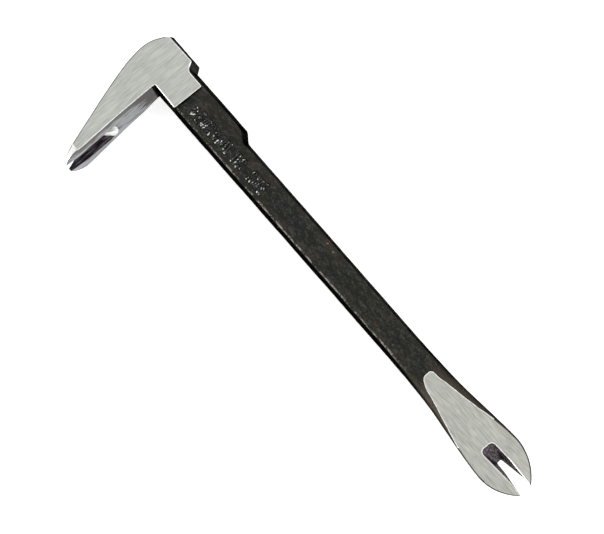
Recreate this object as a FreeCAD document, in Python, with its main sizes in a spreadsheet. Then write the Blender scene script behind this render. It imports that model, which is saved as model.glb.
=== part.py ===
"""A 250 mm nail-pulling pry bar: one steel forging, modelled as the zones that a smith would name.

X runs along the shank from the heel of the head to the tips of the tail, Y is up across the bar's broad
side, away from the claw arm, and Z is the bar's thickness. Every zone is drawn about the shank's centre
line, with X = 0 at the heel, and is placed at the end so that the origin is under the middle of the bar.
Zones meet face to face.
"""

import FreeCAD, Part
import math
import os
import Sketcher

SIZES = (
    ("overall_length", 250.0, "heel to the tail's tips"),
    ("shank_width", 14.2, "across the broad side"),
    ("shank_thickness", 10.0, "of the shank and the neck"),
    ("edge_inset", 1.2, "a drafted edge stands in from the parting line by this"),
    ("edge_radius", 1.0, "rounding of the drafted edges"),
    ("head_top", 12.7, "top of the striking boss above the centre line"),
    ("boss_start", 3.7, "corner between the heel and the boss"),
    ("boss_end", 21.4, "end of the striking boss"),
    ("neck_start", 30.4, "the head's ground face ends here"),
    ("neck_end", 60.2, "the neck meets the shank here"),
    ("neck_top", 10.1, "upper edge of the neck above the centre line"),
    ("shoulder_run", 4.3, "length of the slope from the neck's edge to the shank's"),
    ("boss_run", 2.3, "length of the slope from the boss to the neck's edge"),
    ("heel_low", 8.6, "the heel's arc ends this far below the centre line"),
    ("heel_low_x", 1.4, "and this far along the bar"),
    ("heel_radius", 24.0, "outer arc of the heel"),
    ("arm_back_radius", 420.0, "outer arc of the claw arm"),
    ("arm_root_x", 17.1, "underside of the arm at the inner corner"),
    ("arm_split", 8.6, "heel and claw arm meet this far below the centre line"),
    ("claw_flat_low", 40.0, "the arm's underside is flat down to here"),
    ("claw_flat_x", 18.35, "underside of the arm there"),
    ("claw_low", 53.4, "tips of the claw below the centre line"),
    ("claw_tip_x", 18.2, "underside of the arm at the tips"),
    ("claw_tip_land", 0.6, "thickness left at the tips"),
    ("claw_nose_radius", 45.0, "the underside curves back to the tips"),
    ("arm_edge_radius", 0.7, "rounding of the underside's long edges"),
    ("head_half", 6.4, "half thickness of the head at the centre line"),
    ("head_flare", 3.05, "slope of each ground face of the head, in degrees"),
    ("claw_shoulder_low", 46.0, "the claw's corners start to round here"),
    ("claw_corner_radius", 8.5, "rounding of the claw's corners"),
    ("claw_tip_half", 2.9, "half width of the claw at its tips"),
    ("claw_slot_root", 27.5, "the claw's slot starts here"),
    ("claw_gap_root", 33.0, "and goes right through from here"),
    ("claw_slot_half", 4.3, "half width of the slot at its root, on the underside"),
    ("claw_slot_tip_half", 3.6, "the same at the tips"),
    ("claw_gap_x", 8.8, "outer side of the arm at the gap's root"),
    ("claw_gap_half", 0.9, "half width of the gap at its root, on the outer side"),
    ("claw_gap_tip_half", 2.5, "the same at the tips"),
    ("blade_start", 170.0, "the shank meets the tail's blade here"),
    ("apex_x", 186.5, "the blade's ground faces start here"),
    ("apex_half_flat", 2.6, "half width of the blunt start of the ground face"),
    ("waist_x", 212.0, "a section between the apex and the widest place"),
    ("waist_half_flat", 7.7, "half width of the ground face there"),
    ("waist_half_width", 9.3, "half width of the blade there"),
    ("waist_half_thickness", 3.14, "half thickness there"),
    ("spread_x", 230.5, "widest place of the blade"),
    ("spread_half_width", 10.85, "half width of the blade there"),
    ("spread_half_flat", 10.4, "half width of the ground face there"),
    ("spread_half_thickness", 1.8, "half thickness there"),
    ("tail_tip_half_thickness", 0.4, "half thickness at the tips"),
    ("crown_share", 0.75, "the flanks bend this far out from face to parting line"),
    ("crown_drop", 0.62, "and at this part of the half thickness"),
    ("blade_drift", 0.8, "the blade's middle lies this far below the shank's centre line"),
    ("tail_corner_radius", 25.0, "rounding of the blade's outer corners"),
    ("tail_tip_half", 2.8, "half width of the blade at its tips"),
    ("tail_slot_root", 225.6, "the tail's slot starts here on the front"),
    ("tail_gap_root", 232.7, "and goes right through from here"),
    ("tail_slot_half", 3.0, "half width of the slot on the front"),
    ("tail_gap_half", 1.05, "half width of the gap at its root, on the back"),
    ("tail_gap_tip_half", 2.5, "the same at the tips"),
    ("mark_x", 35.2, "start of the forged mark"),
    ("mark_y", -3.2, "lower edge of the mark's signs"),
    ("mark_width", 2.5, "width of one sign"),
    ("mark_height", 5.0, "height of one sign"),
    ("mark_pitch", 3.45, "from one sign to the next"),
    ("mark_relief", 0.35, "height of the signs above the face"),
    ("second_group", 62.2, "start of the second group of signs"),
    ("third_group", 72.6, "start of the third group of signs"),
)

AXES = (("DistanceX", -2), ("DistanceY", -1))
BACK = "0 - overall_length"
AHEAD = "2 * overall_length"

doc = FreeCAD.newDocument("pry_bar")


def make_sheet():
    """The driving dimensions, each with its alias and a note."""
    sheet = doc.addObject("Spreadsheet::Sheet", "sizes")
    for row, (alias, value, note) in enumerate(SIZES, start=1):
        sheet.set(f"A{row}", note)
        sheet.set(f"B{row}", str(value))
        sheet.setAlias(f"B{row}", alias)
    doc.recompute()
    return sheet


sheet = make_sheet()
ALIASES = {alias for alias, _, _ in SIZES}


def bound(expression):
    """The expression with each alias written as a cell of the sheet; words stand apart in it."""
    words = expression.replace("(", "( ").replace(")", " )").split()
    return " ".join(f"sizes.{word}" if word in ALIASES else word for word in words)


def number(expression):
    return float(sheet.evalExpression(bound(expression)))


def new_body(label):
    body = doc.addObject("PartDesign::Body", label)
    body.Label = label
    return body


def new_sketch(body, role, name, offset="0"):
    """A sketch on one of the body's origin planes, moved along the plane's normal by offset."""
    sketch = body.newObject("Sketcher::SketchObject", f"{body.Label}_{name}")
    plane = next(item for item in body.Origin.OriginFeatures if item.Role == role)
    sketch.AttachmentSupport = [(plane, "")]
    sketch.MapMode = "FlatFace"
    sketch.setExpression(".AttachmentOffset.Base.z", bound(offset))
    return sketch


def hold_point(sketch, edge, end, corner):
    """Holds one end of an edge at a corner, which is a pair of expressions."""
    for (kind, axis), expression in zip(AXES, corner):
        if expression == "0":
            sketch.addConstraint(Sketcher.Constraint("PointOnObject", edge, end, axis))
            continue
        place = Sketcher.Constraint(kind, -1, 1, edge, end, number(expression))
        sketch.setExpression(f"Constraints[{sketch.addConstraint(place)}]", bound(expression))


def add_arc(sketch, start, finish, radius, side):
    """An arc that bulges to the right of its chord, or to the left where side is -1, and its two ends."""
    chord = finish - start
    left = FreeCAD.Vector(-chord.y, chord.x, 0).normalize()
    reach = math.sqrt(radius**2 - (chord.Length / 2) ** 2)
    centre = (start + finish) / 2 + left * reach * side
    rim = (start, finish) if side > 0 else (finish, start)
    angles = [math.atan2(point.y - centre.y, point.x - centre.x) for point in rim]
    circle = Part.Circle(centre, FreeCAD.Vector(0, 0, 1), radius)
    edge = sketch.addGeometry(Part.ArcOfCircle(circle, *angles), False)
    return (edge, 1, 2) if side > 0 else (edge, 2, 1)


def draw(sketch, corners, arcs=None):
    """A closed outline through the corners; arcs gives an edge's radius and the side that it bulges to."""
    arcs = arcs or {}
    points = [FreeCAD.Vector(number(across), number(up), 0) for across, up in corners]
    edges = []
    for index, start in enumerate(points):
        finish = points[(index + 1) % len(points)]
        if index in arcs:
            radius, side = arcs[index]
            edges.append(add_arc(sketch, start, finish, number(radius), side))
        else:
            edges.append((sketch.addGeometry(Part.LineSegment(start, finish), False), 1, 2))
    for index, (edge, first, last) in enumerate(edges):
        following, meeting, _ = edges[(index + 1) % len(edges)]
        sketch.addConstraint(Sketcher.Constraint("Coincident", edge, last, following, meeting))
        hold_point(sketch, edge, first, corners[index])
        if index in arcs:
            radius = arcs[index][0]
            bend = Sketcher.Constraint("Radius", edge, number(radius))
            sketch.setExpression(f"Constraints[{sketch.addConstraint(bend)}]", bound(radius))


def pad(body, name, sketch, length, side_type="One side"):
    feature = body.newObject("PartDesign::Pad", f"{body.Label}_{name}")
    feature.Profile = sketch
    feature.SideType = side_type
    feature.setExpression("Length", bound(length))
    doc.recompute()


def must_have_cut(body, name, volume_before):
    if body.Shape.Volume > volume_before - 0.01:
        raise RuntimeError(f"{name} cut nothing from {body.Label}")


def cut_through(body, name, sketch):
    """Cuts the sketch's outlines right through the body, to both sides of the sketch."""
    before = body.Shape.Volume
    feature = body.newObject("PartDesign::Pocket", f"{body.Label}_{name}")
    feature.Profile = sketch
    feature.SideType = "Symmetric"
    feature.setExpression("Length", bound("4 * overall_length"))
    doc.recompute()
    must_have_cut(body, name, before)


def cut_between(body, name, first, second):
    """Cuts a straight-sided loft between two sketches."""
    before = body.Shape.Volume
    feature = body.newObject("PartDesign::SubtractiveLoft", f"{body.Label}_{name}")
    feature.Profile = first
    feature.Sections = [second]
    feature.Ruled = True
    doc.recompute()
    must_have_cut(body, name, before)


def round_edges(body, name, is_wanted, radius):
    """A fillet on the edges of the body's latest shape that the test picks."""
    base = body.Tip
    picked = [f"Edge{place}" for place, edge in enumerate(base.Shape.Edges, start=1) if is_wanted(edge)]
    fillet = body.newObject("PartDesign::Fillet", f"{body.Label}_{name}")
    fillet.Base = (base, picked)
    fillet.setExpression("Radius", bound(radius))
    doc.recompute()


def cut_box(body, name, plane, left, low, right, high):
    """Cuts a rectangle of one of the origin planes right through the body."""
    sketch = new_sketch(body, plane, name)
    draw(sketch, [(left, low), (right, low), (right, high), (left, high)])
    cut_through(body, f"{name}_cut", sketch)


def keep_above(body, name, line):
    cut_box(body, name, "XY_Plane", BACK, BACK, AHEAD, line)


def keep_below(body, name, line):
    cut_box(body, name, "XY_Plane", BACK, line, AHEAD, AHEAD)


def bar_section(half_up, half_down):
    """A bar's section in Y and Z: broad faces, and sides drafted to a parting line at mid thickness."""
    face = "shank_thickness / 2"
    return [
        (f"{half_up} - edge_inset", face),
        (f"edge_inset - {half_down}", face),
        (f"0 - {half_down}", "0"),
        (f"edge_inset - {half_down}", f"0 - {face}"),
        (f"{half_up} - edge_inset", f"0 - {face}"),
        (half_up, "0"),
    ]


def is_drafted_edge(edge):
    """True for the long edges where a drafted side meets a broad face."""
    box = edge.BoundBox
    on_face = min(abs(box.ZMin), abs(box.ZMax)) > number("shank_thickness / 2") - 0.01
    return on_face and box.XLength > box.YLength and box.XLength > 3


def bar_stretch(label, start, finish, half_up):
    """One straight stretch of the bar."""
    body = new_body(label)
    section = new_sketch(body, "YZ_Plane", "section", start)
    draw(section, bar_section(half_up, "shank_width / 2"))
    pad(body, "bar", section, f"{finish} - {start}")
    return body


def make_neck():
    """The neck is wider than the shank along its upper edge, and slopes down to it at its end."""
    body = bar_stretch("neck", "neck_start", "neck_end", "neck_top")
    slope = new_sketch(body, "XY_Plane", "shoulder_outline")
    draw(slope, [
        ("neck_end", "shank_width / 2"),
        ("neck_end + 1", "shank_width / 2"),
        ("neck_end + 1", "neck_top + 1"),
        ("neck_end - shoulder_run", "neck_top + 1"),
        ("neck_end - shoulder_run", "neck_top"),
    ])
    cut_through(body, "shoulder", slope)
    round_edges(body, "drafted_edges", is_drafted_edge, "edge_radius")
    return body


def make_shank():
    body = bar_stretch("shank", "neck_end", "blade_start", "shank_width / 2")
    round_edges(body, "drafted_edges", is_drafted_edge, "edge_radius")
    return body


def head_blank(label):
    """The whole head as one blank: its outline, the flared ground faces and the claw's rounded corners."""
    body = new_body(label)
    low = "0 - claw_low"
    outline = new_sketch(body, "XY_Plane", "outline")
    draw(outline, [
        ("neck_start", "0 - shank_width / 2"),
        ("neck_start", "neck_top"),
        ("boss_end + boss_run", "neck_top"),
        ("boss_end", "head_top"),
        ("boss_start", "head_top"),
        ("heel_low_x", "0 - heel_low"),
        ("claw_tip_x - claw_tip_land", low),
        ("claw_tip_x", low),
        ("claw_flat_x", "0 - claw_flat_low"),
        ("arm_root_x", "0 - shank_width / 2"),
    ], {4: ("heel_radius", 1), 5: ("arm_back_radius", 1), 7: ("claw_nose_radius", 1)})
    pad(body, "blank", outline, "4 * head_half", "Symmetric")
    faces = new_sketch(body, "YZ_Plane", "ground_faces")
    at_top = "head_half - head_top * tan( head_flare )"
    at_tips = "head_half + claw_low * tan( head_flare )"
    waste = "3 * head_half"
    draw(faces, [("head_top", at_top), ("head_top", waste), (low, waste), (low, at_tips)])
    draw(faces, [("head_top", f"0 - ( {at_top} )"), (low, f"0 - ( {at_tips} )"),
                 (low, f"0 - {waste}"), ("head_top", f"0 - {waste}")])
    cut_through(body, "ground_faces_cut", faces)
    corners = new_sketch(body, "YZ_Plane", "claw_corners")
    start = "0 - claw_shoulder_low"
    shoulder = "head_half + claw_shoulder_low * tan( head_flare )"
    beyond = "0 - claw_low - 1"
    draw(corners, [(start, shoulder), (start, waste), (beyond, waste), (beyond, "claw_tip_half"),
                   (low, "claw_tip_half")], {4: ("claw_corner_radius", 1)})
    draw(corners, [(start, f"0 - ( {shoulder} )"), (start, f"0 - {waste}"), (beyond, f"0 - {waste}"),
                   (beyond, "0 - claw_tip_half"), (low, "0 - claw_tip_half")], {4: ("claw_corner_radius", -1)})
    cut_through(body, "claw_corners_cut", corners)
    return body


def make_heel_block():
    """The heel, the striking boss and the end that runs onto the neck."""
    body = head_blank("heel_block")
    keep_above(body, "arm", "0 - arm_split")
    return body


def claw_slot_section(body, name, low, lip_half, deep_x, deep_half):
    """The claw slot's section across the arm, wide on the underside and narrow on the outer side."""
    sketch = new_sketch(body, "XZ_Plane", name, low)
    lip_x = "claw_flat_x + 1"
    draw(sketch, [(deep_x, f"0 - {deep_half}"), (lip_x, f"0 - {lip_half}"), (lip_x, lip_half),
                  (deep_x, deep_half)])
    return sketch


def claw_gap_section(body):
    """The slot's section where its ramp ends and the gap between the prongs starts."""
    return claw_slot_section(body, "gap_root", "claw_gap_root", "claw_slot_half", "claw_gap_x",
                             "claw_gap_half")


def make_claw_arm():
    """From the heel down to the gap between the prongs, with the slot's ramp in its end."""
    body = head_blank("claw_arm")
    keep_below(body, "heel", "0 - arm_split")
    keep_above(body, "prongs", "0 - claw_gap_root")
    start = claw_slot_section(body, "ramp_start", "claw_slot_root", "claw_slot_half", "arm_root_x + 0.5",
                              "claw_slot_half")
    cut_between(body, "slot_ramp", start, claw_gap_section(body))
    return body


def make_claw_prong(label, low, high):
    """One of the claw's two prongs: low and high bound the half of the thickness that is cut away."""
    body = head_blank(label)
    keep_below(body, "arm", "0 - claw_gap_root")
    end = claw_slot_section(body, "slot_end", "claw_low + 1", "claw_slot_tip_half", "claw_tip_x - 1",
                            "claw_gap_tip_half")
    cut_between(body, "slot", claw_gap_section(body), end)
    cut_box(body, "other_prong", "XZ_Plane", BACK, low, AHEAD, high)
    return body


def blade_section(body, name, place, middle, half_width, half_flat, half_thickness):
    """The blade's section: faces on front and back, and crowned flanks that meet at the parting line."""
    sketch = new_sketch(body, "YZ_Plane", name, place)
    half_crown = f"( {half_flat} * ( 1 - crown_share ) + ( {half_width} ) * crown_share )"
    crown_height = f"{half_thickness} * crown_drop"
    upper = [(half_flat, half_thickness), (half_crown, crown_height), (half_width, "0")]
    quarter = [(f"{middle} + {across}", up) for across, up in upper]
    other = [(f"{middle} - {across}", up) for across, up in upper]
    under = [(across, f"0 - {up}") for across, up in quarter[:2]]
    other_under = [(across, f"0 - {up}") for across, up in other[:2]]
    draw(sketch, quarter[::-1] + other + other_under[::-1] + under)
    return sketch


def tail_blank(label):
    """The whole tail as one blank: it spreads and thins towards rounded corners."""
    body = new_body(label)
    half_bar = "shank_width / 2"
    half_face = "shank_thickness / 2"
    root = blade_section(body, "root", "blade_start", "0", half_bar, f"( {half_bar} - edge_inset )", half_face)
    sections = [
        blade_section(body, "apex", "apex_x", "0", half_bar, "apex_half_flat", half_face),
        blade_section(body, "waist", "waist_x", "0 - blade_drift / 2", "waist_half_width",
                      "waist_half_flat", "waist_half_thickness"),
        blade_section(body, "spread", "spread_x", "0 - blade_drift", "spread_half_width",
                      "spread_half_flat", "spread_half_thickness"),
        blade_section(body, "tips", "overall_length", "0 - blade_drift", "spread_half_width",
                      "spread_half_flat", "tail_tip_half_thickness"),
    ]
    loft = body.newObject("PartDesign::AdditiveLoft", f"{label}_blank")
    loft.Profile = root
    loft.Sections = sections
    loft.Ruled = True
    doc.recompute()
    corners = new_sketch(body, "XY_Plane", "corners")
    past_tips = "overall_length + 1"
    for sign in (1, -1):
        edge, tip, far = [f"{sign} * {size} - blade_drift" for size in
                          ("spread_half_width", "tail_tip_half", "overall_length")]
        draw(corners, [("spread_x", edge), ("spread_x", far), (past_tips, far), (past_tips, tip),
                       ("overall_length", tip)], {4: ("tail_corner_radius", sign)})
    cut_through(body, "corners_cut", corners)
    return body


def tail_slot_section(body, name, place, low, low_half, high, high_half):
    """The tail slot's section: wide on the front and narrow on the back."""
    sketch = new_sketch(body, "YZ_Plane", name, place)
    sides = [f"{sign} * {half} - blade_drift" for half in (low_half, high_half) for sign in (-1, 1)]
    draw(sketch, [(sides[0], low), (sides[1], low), (sides[3], high), (sides[2], high)])
    return sketch


def tail_gap_section(body):
    """The slot's section where its ramp ends and the gap between the prongs starts."""
    reach = "spread_half_thickness + 0.2"
    return tail_slot_section(body, "gap_root", "tail_gap_root", f"0 - ( {reach} )", "tail_gap_half", reach,
                             "tail_slot_half")


def make_tail_blade():
    """From the shank to the gap between the prongs, with the slot's ramp in its end."""
    body = tail_blank("tail_blade")
    cut_box(body, "prongs", "XY_Plane", "tail_gap_root", BACK, AHEAD, AHEAD)
    start = tail_slot_section(body, "ramp_start", "tail_slot_root", "spread_half_thickness + 0.4",
                              "tail_slot_half", "spread_half_thickness + 1.4", "tail_slot_half")
    cut_between(body, "slot_ramp", start, tail_gap_section(body))
    return body


def make_tail_prong(label, low, high):
    """One of the tail's two prongs: low and high bound the half of the blade that is cut away."""
    body = tail_blank(label)
    cut_box(body, "blade", "XY_Plane", BACK, BACK, "tail_gap_root", AHEAD)
    end = tail_slot_section(body, "slot_end", "overall_length + 1", "0 - 1", "tail_gap_tip_half - 0.2", "1",
                            "tail_gap_tip_half + 0.4")
    cut_between(body, "slot", tail_gap_section(body), end)
    cut_box(body, "other_prong", "XY_Plane", BACK, low, AHEAD, high)
    return body


def make_mark():
    """Three groups of small raised signs, forged onto the front face."""
    signs = []
    for group, (start, count) in enumerate((("mark_x", 7), ("second_group", 2), ("third_group", 3))):
        for place in range(count):
            sign = doc.addObject("Part::Box", f"sign_{group}_{place}")
            for key, size in (("Length", "mark_width"), ("Width", "mark_height"), ("Height", "mark_relief")):
                sign.setExpression(key, bound(size))
            sign.setExpression(".Placement.Base.x", bound(f"{start} + {place} * mark_pitch"))
            sign.setExpression(".Placement.Base.y", bound("mark_y"))
            sign.setExpression(".Placement.Base.z", bound("shank_thickness / 2"))
            signs.append(sign)
    mark = doc.addObject("Part::Compound", "forging_mark")
    mark.Label = "forging_mark"
    mark.Links = signs
    return mark


def place_all(pieces):
    """Moves the origin under the middle of the bar as it lies on its broad side."""
    box = FreeCAD.BoundBox()
    for piece in pieces:
        box.add(piece.Shape.optimalBoundingBox(False, False))
    shift = FreeCAD.Vector(-box.Center.x, -box.Center.y, -box.ZMin)
    for piece in pieces:
        piece.Placement = FreeCAD.Placement(shift, FreeCAD.Rotation())


def check_all(pieces):
    for item in doc.Objects:
        if "Invalid" in item.State or "Error" in item.State:
            raise RuntimeError(f"{item.Name} failed: {item.State}")
    for piece in pieces:
        if piece.Shape.isNull() or not piece.Shape.isValid():
            raise RuntimeError(f"{piece.Label} has no valid shape")


def main():
    pieces = [
        make_heel_block(),
        make_claw_arm(),
        make_claw_prong("claw_prong_front", BACK, "0"),
        make_claw_prong("claw_prong_back", "0", AHEAD),
        make_neck(),
        make_mark(),
        make_shank(),
        make_tail_blade(),
        make_tail_prong("tail_prong_upper", BACK, "0 - blade_drift"),
        make_tail_prong("tail_prong_lower", "0 - blade_drift", AHEAD),
    ]
    doc.recompute()
    place_all(pieces)
    doc.recompute()
    check_all(pieces)
    os.makedirs("parts", exist_ok=True)
    for piece in pieces:
        piece.Shape.exportStep(f"parts/{piece.Label}.step")
        print(f"{piece.Label}: {piece.Shape.Volume:.1f} mm3, {len(piece.Shape.Solids)} solids")


main()
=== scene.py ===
"""The looks of a forged nail-pulling pry bar: a black forged skin, and bright faces ground through it.

Lengths in this file are millimetres along the bar: x runs from the heel to the tail's tips, y is 0 on the
shank's centre line and positive away from the claw arm, and z is 0 at mid thickness, positive to the front.
The forging's skin is uneven, as a hammer leaves it. The tail's ground faces are planes that cut the skin, and
the head's uneven walls end at its two ground faces, so their outlines wander as real ones do. Each CAD zone
is replaced by its part of the forging.
"""

import math

import bmesh
import bpy
import numpy as np
from mathutils import Matrix, Vector, noise


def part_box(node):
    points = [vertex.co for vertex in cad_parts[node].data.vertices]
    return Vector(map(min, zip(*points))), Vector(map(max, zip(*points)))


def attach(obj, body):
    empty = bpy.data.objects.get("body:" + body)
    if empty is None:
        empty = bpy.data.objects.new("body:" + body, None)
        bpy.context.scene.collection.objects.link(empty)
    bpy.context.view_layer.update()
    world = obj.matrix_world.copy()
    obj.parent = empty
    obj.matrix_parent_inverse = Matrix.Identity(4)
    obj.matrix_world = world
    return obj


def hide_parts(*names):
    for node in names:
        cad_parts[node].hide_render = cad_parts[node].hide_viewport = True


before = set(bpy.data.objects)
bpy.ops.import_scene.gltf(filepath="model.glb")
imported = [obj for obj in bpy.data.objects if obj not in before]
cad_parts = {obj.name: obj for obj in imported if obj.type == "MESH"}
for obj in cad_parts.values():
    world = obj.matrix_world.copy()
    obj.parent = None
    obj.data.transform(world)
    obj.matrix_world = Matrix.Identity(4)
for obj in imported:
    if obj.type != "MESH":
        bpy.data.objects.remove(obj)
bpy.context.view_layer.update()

MM = 0.001
HEEL_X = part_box("heel_block")[0][0]
SHANK_LOW, SHANK_HIGH = (Vector(corner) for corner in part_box("shank"))
ORIGIN = Vector((HEEL_X, (SHANK_LOW.y + SHANK_HIGH.y) / 2, (SHANK_LOW.z + SHANK_HIGH.z) / 2))


def along_bar(node, end):
    """Where a CAD node starts (end 0) or ends (end 1) along the bar, in millimetres from the heel."""
    return (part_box(node)[end][0] - HEEL_X) / MM


LENGTH = along_bar("tail_prong_upper", 1)
HALF_WIDTH = (SHANK_HIGH.y - SHANK_LOW.y) / 2 / MM
HALF_THICK = (SHANK_HIGH.z - SHANK_LOW.z) / 2 / MM
NECK_START = along_bar("neck", 0)
NECK_END = along_bar("neck", 1)
NECK_TOP = (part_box("neck")[1][1] - ORIGIN.y) / MM
BLADE_START = along_bar("tail_blade", 0)
TAIL_GAP = along_bar("tail_prong_upper", 0)
ARM_SPLIT = (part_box("claw_arm")[1][1] - ORIGIN.y) / MM
CLAW_GAP = (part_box("claw_prong_front")[1][1] - ORIGIN.y) / MM
CLAW_TIP = (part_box("claw_prong_front")[0][1] - ORIGIN.y) / MM
MID_LENGTH = LENGTH / 2

SHOULDER_RUN = 4.3  # the slope from the neck down to the shank
BAR_START = 19.4  # the bar's end inside the head
APEX = 186.5  # where the tail's ground faces start
GRIND_SLOPE = 0.0728  # how steeply they fall towards the tips
HEAD_HALF = 6.4  # half the head's thickness at the centre line
HEAD_FLARE = math.radians(3.05)  # how its two ground faces part towards the claw
SLOT_DRIFT = 1.25  # how far the tail's slot lies below the centre line

# Places in the forging's list of materials, and in the mark's.
BLACK, HEAD_GROUND, TAIL_GROUND, POLISHED, SLOT, RIM, CORNER = range(7)
MARK_TOP, MARK_FOOT = range(2)

# How finely the skin is divided: along the bar in millimetres, and in steps round it and over the head.
STATION_STEP = 0.5
QUARTER = 24
FLANK_STEPS = 8
ROUND_STEPS = 8
HEAD_ROWS = 23
SLOT_STEPS = 7
ARC_STEPS = 20

# The skin's unevenness, from broad hammering to fine scale: height, length and width in millimetres, and
# where the noise is sampled.
SKIN_NOISE = ((0.10, 17, 9, (0, 0, 0)), (0.045, 4.2, 3.1, (40, 0, 0)), (0.02, 1.3, 1.3, (0, 70, 0)))


# ---------------------------------------------------------------- helpers

def smooth(low, high, x):
    """0 at low and before it, 1 at high and past it, and an S between; low may be the larger."""
    t = np.clip((np.asarray(x, float) - low) / (high - low), 0, 1)
    return t * t * (3 - 2 * t)


def spline(x, knots):
    """A smooth curve through the knots, level at each knot where they turn back and past both ends."""
    xs, ys = np.array(knots, float).T
    slopes = np.diff(ys) / np.diff(xs)
    tangents = np.concatenate(([slopes[0]], (slopes[1:] + slopes[:-1]) / 2, [slopes[-1]]))
    flat = np.concatenate(([False], slopes[1:] * slopes[:-1] <= 0, [False]))
    tangents[flat] = 0
    x = np.clip(x, xs[0], xs[-1])
    i = np.clip(np.searchsorted(xs, x) - 1, 0, len(xs) - 2)
    step = xs[i + 1] - xs[i]
    t = (x - xs[i]) / step
    return ((1 + 2 * t) * (1 - t) ** 2 * ys[i] + t * (1 - t) ** 2 * step * tangents[i]
            + t * t * (3 - 2 * t) * ys[i + 1] - t * t * (1 - t) * step * tangents[i + 1])


def unevenness(points):
    """How far the forged skin stands out at each point, in millimetres."""
    rises = []
    for x, y, z in points:
        rise = 0.0
        for height, length, width, (at_x, at_y, at_z) in SKIN_NOISE:
            rise += height * noise.noise((x / length + at_x, y / width + at_y, z / width + at_z))
        rises.append(rise)
    return np.array(rises)


def new_object(name, bm, materials):
    """An object in the scene from a bmesh, which it uses up."""
    mesh = bpy.data.meshes.new(name)
    bm.to_mesh(mesh)
    bm.free()
    for material in materials:
        mesh.materials.append(material)
    piece = bpy.data.objects.new(name, mesh)
    bpy.context.scene.collection.objects.link(piece)
    return piece


def grid_mesh(rings):
    """A bmesh from rings of points, capped at both ends."""
    bm = bmesh.new()
    rows = [[bm.verts.new(point) for point in ring] for ring in rings]
    count = len(rows[0])
    for row, following in zip(rows, rows[1:]):
        for i in range(count):
            j = (i + 1) % count
            bm.faces.new((row[i], row[j], following[j], following[i]))
    bm.faces.new(rows[0][::-1])
    bm.faces.new(rows[-1])
    bmesh.ops.recalc_face_normals(bm, faces=bm.faces)
    return bm


def grind(bm, point, normal, material):
    """Cuts everything outside a plane away and closes the cut with a flat face."""
    geometry = bm.verts[:] + bm.edges[:] + bm.faces[:]
    cut = bmesh.ops.bisect_plane(bm, geom=geometry, dist=1e-6, plane_co=point, plane_no=normal,
                                 clear_outer=True)
    edges = [item for item in cut["geom_cut"] if isinstance(item, bmesh.types.BMEdge)]
    before = set(bm.faces)
    bmesh.ops.holes_fill(bm, edges=edges)
    for face in [face for face in bm.faces if face not in before]:
        face.material_index = material
        face.normal_update()
        if face.normal.dot(Vector(normal)) < 0:
            face.normal_flip()


def combine(piece, cutter, operation="DIFFERENCE"):
    """Cuts the cutter from the piece, or joins it on, and keeps each one's materials."""
    cut = piece.modifiers.new("combine", "BOOLEAN")
    cut.operation = operation
    cut.solver = "EXACT"
    cut.material_mode = "TRANSFER"
    cut.object = cutter
    evaluated = piece.evaluated_get(bpy.context.evaluated_depsgraph_get())
    mesh = bpy.data.meshes.new_from_object(evaluated)
    piece.modifiers.clear()
    piece.data = mesh
    bpy.data.objects.remove(cutter)


def slot_outline(root, tip, root_half, tip_half, radius):
    """A slot's outline seen along its depth: rounded at the root and open past the tips."""
    corner = [(root + radius * (1 - math.sin(angle)), root_half - radius + radius * math.cos(angle))
              for angle in np.linspace(0, math.pi / 2, SLOT_STEPS)]
    return [(x, -y) for x, y in corner] + corner[::-1] + [(tip, tip_half), (tip, -tip_half)]


# ---------------------------------------------------------------- the bar: neck, shank and tail

STEP_ROUNDING = 0.9
STEP_SAMPLES = 7


def soft_step(x, low, high):
    """A straight ramp from 0 at low to 1 at high, with both its corners rounded."""
    offsets = np.linspace(-STEP_ROUNDING, STEP_ROUNDING, STEP_SAMPLES)[:, None]
    return np.mean(np.clip((x + offsets - low) / (high - low), 0, 1), axis=0)


def blade_edge(x, knots, tip):
    """How far the blade's edge lies from the centre line: through the knots, then round to the tip."""
    widest, half = knots[-1]
    run, drop = LENGTH - widest, half - tip
    radius = (run * run + drop * drop) / (2 * drop)
    rim = half - radius + np.sqrt(np.maximum(radius ** 2 - (x - widest) ** 2, 0))
    return np.where(x < widest, spline(x, knots), rim)


# The blade's two edges up to its widest place: along the bar, and out from the centre line.
UPPER_EDGE = ((165, HALF_WIDTH), (171, 7.1), (188, 7.3), (198.4, 7.75), (208.7, 8.6), (219, 9.5),
              (224, 9.95), (230, 10.3))
LOWER_EDGE = ((165, HALF_WIDTH), (171, 7.15), (188, 7.55), (198.4, 8.2), (208.7, 9.3), (219, 10.5),
              (224, 11.0), (229, 11.35), (232, 11.5))
UPPER_TIP = 1.3  # how far out each edge ends at the tips
LOWER_TIP = 3.8

# How full the blade's section is above and below the centre line: along the bar, and the power of its curve,
# where 2 is an ellipse.
UPPER_POWER = ((186, 3.0), (190, 1.95), (195, 1.82), (210, 1.8), (215, 1.94), (220, 2.1), (250, 2.2))
LOWER_POWER = ((186, 3.1), (190, 2.9), (195, 2.58), (205, 2.62), (210, 2.75), (215, 3.1), (220, 3.9),
               (250, 4.5))

CORNER_RADIUS = 1.1  # of the drafted bar's long corners
NECK_INSET = 1.5  # how far the draft takes the upper corner in along the neck
INSET_DROP = 0.3  # how much less that is along the shank
LOWER_INSET = 1.25
SCOOP_INSET = 0.9  # how much more it is at the neck's shoulder
SCOOP_BACK, SCOOP_RUN = 3, 3.2  # how far that lies before the neck's end, and how far it spreads


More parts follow.
